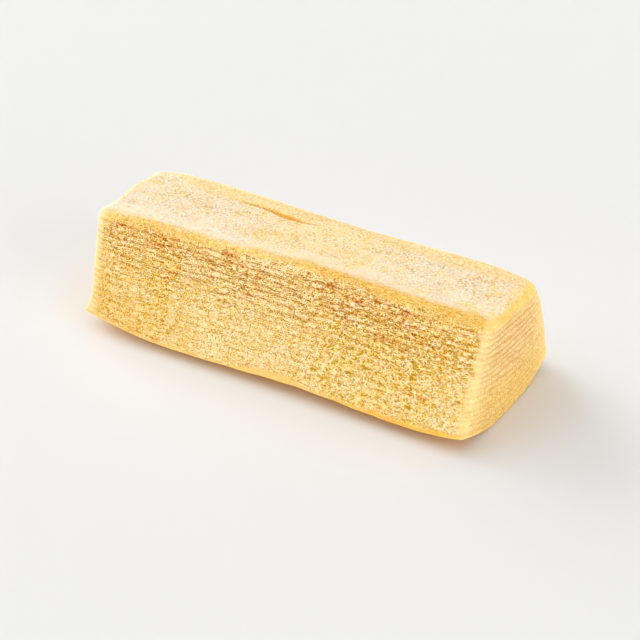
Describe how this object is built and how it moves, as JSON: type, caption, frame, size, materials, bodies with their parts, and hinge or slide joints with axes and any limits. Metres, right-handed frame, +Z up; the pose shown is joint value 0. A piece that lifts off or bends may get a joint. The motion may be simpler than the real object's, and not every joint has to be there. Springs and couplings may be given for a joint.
{
  "type": "baumkuchen",
  "caption": "Stick of layered ring cake cut lengthwise as a wedge, pale inner skin on top, porous layered cut faces, browned outer skin below.",
  "frame": {"origin": "middle of the bounding box at the underside, on the plane that the cake rests on", "axes": "+X along the stick, towards the end whose cut is seen; -Y towards the front cut face; +Z up, out of the pale inner skin"},
  "size_m": [0.1214, 0.0526, 0.0346],
  "materials": {
    "crumb": null
  },
  "bodies": {
    "root": {"cake": "crumb"}
  },
  "joints": []
}
